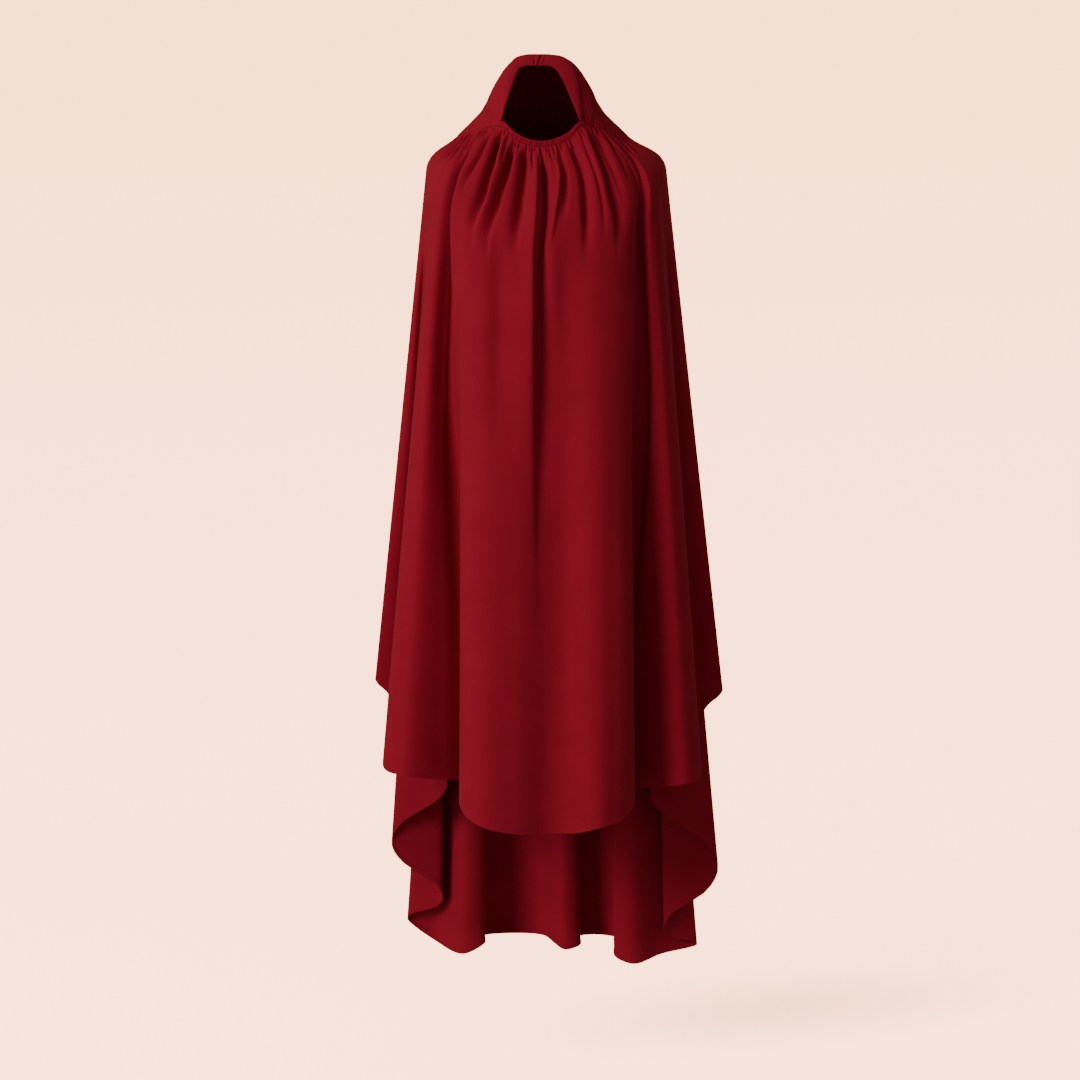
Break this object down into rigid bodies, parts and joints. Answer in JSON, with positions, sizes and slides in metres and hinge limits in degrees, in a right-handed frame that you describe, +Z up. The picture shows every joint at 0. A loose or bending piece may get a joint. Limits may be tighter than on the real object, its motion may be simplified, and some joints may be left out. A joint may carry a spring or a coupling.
{
  "type": "khimar veil",
  "caption": "Full-length khimar veil of matte crepe: hood with face band and elastic chin casing, over a gathered cape that is longer at the back.",
  "frame": {"origin": "top of the inside of the hood, where a wearer's head carries the veil", "axes": "+Z up along the wearer's height, +Y to the wearer's back, so the face opening looks towards -Y; +X to the right seen from the front"},
  "size_m": [0.5982, 0.3952, 1.5741],
  "materials": {
    "crepe_cloth": "matte crimson crepe, closely woven, no pattern"
  },
  "bodies": {
    "root": {"hood": "crepe_cloth", "face_band": "crepe_cloth", "chin_casing": "crepe_cloth", "cape": "crepe_cloth"}
  },
  "joints": []
}
